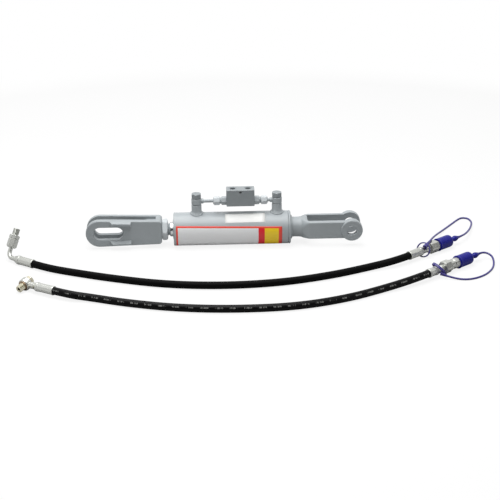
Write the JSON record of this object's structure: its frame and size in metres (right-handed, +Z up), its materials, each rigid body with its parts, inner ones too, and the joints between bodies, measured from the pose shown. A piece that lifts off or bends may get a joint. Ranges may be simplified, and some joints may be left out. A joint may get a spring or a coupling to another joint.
{
  "type": "tractor lift arm",
  "caption": "Hydraulic lift rod for a tractor linkage: cylinder with slotted fork, forged clevis, piped check valve block and loose hoses with capped quick couplers.",
  "frame": {"origin": "centre of the clevis pin bore, on the cylinder's axis", "axes": "+X runs along the cylinder from the slotted fork to the clevis, +Y along the pin bore away from the viewer, +Z up with the valve block on top"},
  "size_m": [1.1417, 0.5464, 0.1415],
  "materials": {
    "grey_paint": "satin grey machine enamel over steel, sprayed over the assembled cylinder",
    "zinc_steel": "bright zinc plated steel",
    "yellow_zinc": "yellow passivated zinc plate",
    "ground_rod": "ground and chromed piston rod",
    "bare_steel": "machined steel, oiled",
    "seal_rubber": "nitrile rubber",
    "guide_plastic": "filled nylon guide ring",
    "copper_washer": "bonded sealing washer",
    "hose_rubber": "black hose cover",
    "blue_cap": "soft blue PVC",
    "spring_steel": "spring steel wire"
  },
  "bodies": {
    "cylinder": {"barrel_tube": "grey_paint", "end_cap": "bare_steel", "base_welds": "grey_paint", "gland": "grey_paint", "rod_wiper": "seal_rubber", "rod_seal": "seal_rubber", "rod_guide": "guide_plastic", "gland_oring": "seal_rubber", "clevis": "grey_paint", "port_boss_rod_side": "grey_paint", "port_boss_base_side": "grey_paint", "banjo_bolt_rod_side": "grey_paint", "banjo_bolt_base_side": "grey_paint", "banjo_eye_rod_side": "grey_paint", "banjo_eye_base_side": "grey_paint", "sealing_washers": "grey_paint", "stud_fittings": "grey_paint", "cutting_rings": "bare_steel", "union_nuts": "grey_paint", "pipe_rod_side": "grey_paint", "pipe_base_side": "grey_paint", "valve_block": "grey_paint", "valve_seats": "bare_steel", "poppet_spring_base_side": "spring_steel", "poppet_spring_rod_side": "spring_steel", "hose_1_ferrule_left": "zinc_steel", "hose_1_elbow": "zinc_steel", "hose_2_ferrule_left": "zinc_steel", "hose_2_banjo_eye": "zinc_steel", "hose_2_washers": "copper_washer", "hose_1": "hose_rubber", "hose_2": "hose_rubber", "strap_1": "blue_cap", "strap_2": "blue_cap", "hose_1_ferrule_right": "zinc_steel", "coupler_1": "zinc_steel", "coupler_spring_1": "spring_steel", "strap_ring_1": "blue_cap", "hose_2_ferrule_right": "zinc_steel", "coupler_2": "zinc_steel", "coupler_spring_2": "spring_steel", "strap_ring_2": "blue_cap"},
    "piston_rings": {"wear_rings": "guide_plastic", "piston_seal": "seal_rubber"},
    "rod": {"piston_rod": "ground_rod", "piston": "bare_steel", "piston_nut": "bare_steel"},
    "lock_nut": {"lock_nut": "grey_paint"},
    "fork": {"slotted_fork": "grey_paint"},
    "pilot": {"pilot_piston": "bare_steel"},
    "poppet_base": {"poppet_base_side": "bare_steel"},
    "poppet_rod": {"poppet_rod_side": "bare_steel"},
    "swivel": {"swivel_nut": "zinc_steel", "hose_1_adapter": "zinc_steel"},
    "banjo_screw": {"banjo_screw": "yellow_zinc"},
    "cap_1": {"dust_cap_1": "blue_cap"},
    "cap_2": {"dust_cap_2": "blue_cap"},
    "valve_1": {"coupler_valve_1": "bare_steel"},
    "valve_2": {"coupler_valve_2": "bare_steel"}
  },
  "joints": [
    {"name": "stroke", "type": "slide", "parent": "cylinder", "child": "piston_rings", "axis": [-1, 0, 0], "range_m": [0, 0.14]},
    {"name": "rod_turn", "type": "hinge", "parent": "piston_rings", "child": "rod", "pos_m": [-0.3, 0, 0], "axis": [-1, 0, 0], "continuous": true},
    {"name": "nut_travel", "type": "slide", "parent": "rod", "child": "lock_nut", "axis": [-1, 0, 0], "range_m": [0, 0.0175]},
    {"name": "fork_turn", "type": "hinge", "parent": "lock_nut", "child": "fork", "pos_m": [-0.55, 0, 0], "axis": [-1, 0, 0], "range_deg": [0, 1800]},
    {"name": "pilot_shift", "type": "slide", "parent": "cylinder", "child": "pilot", "axis": [1, 0, 0], "range_m": [-0.003, 0.003]},
    {"name": "check_base", "type": "slide", "parent": "cylinder", "child": "poppet_base", "axis": [1, 0, 0], "range_m": [0, 0.002], "stiffness_N_per_m": 400, "springref_m": -0.001, "deforming": ["poppet_spring_base_side"]},
    {"name": "check_rod", "type": "slide", "parent": "cylinder", "child": "poppet_rod", "axis": [-1, 0, 0], "range_m": [0, 0.002], "stiffness_N_per_m": 400, "springref_m": -0.001, "deforming": ["poppet_spring_rod_side"]},
    {"name": "swivel_turn", "type": "hinge", "parent": "cylinder", "child": "swivel", "pos_m": [-0.81772, -0.08338, -0.0294], "axis": [0.3115, 0.4287, 0.848], "continuous": true},
    {"name": "screw_turn", "type": "hinge", "parent": "cylinder", "child": "banjo_screw", "pos_m": [-0.75624, -0.25471, -0.0257], "axis": [0.5219, 0.8352, 0.1736], "continuous": true},
    {"name": "cap_1_off", "type": "slide", "parent": "cylinder", "child": "cap_1", "axis": [0.7771, 0.6293, 0], "range_m": [0, 0.04], "deforming": ["strap_1"]},
    {"name": "valve_1_press", "type": "slide", "parent": "cylinder", "child": "valve_1", "axis": [-0.7771, -0.6293, 0], "range_m": [0, 0.005], "stiffness_N_per_m": 600, "springref_m": -0.002, "deforming": ["coupler_spring_1"]},
    {"name": "cap_2_off", "type": "slide", "parent": "cylinder", "child": "cap_2", "axis": [0.7771, 0.6293, 0], "range_m": [0, 0.04], "deforming": ["strap_2"]},
    {"name": "valve_2_press", "type": "slide", "parent": "cylinder", "child": "valve_2", "axis": [-0.7771, -0.6293, 0], "range_m": [0, 0.005], "stiffness_N_per_m": 600, "springref_m": -0.002, "deforming": ["coupler_spring_2"]}
  ],
  "couplings": [
    {"joint": "nut_travel", "follows": "fork_turn", "m_per_rad": 0.00055704}
  ]
}
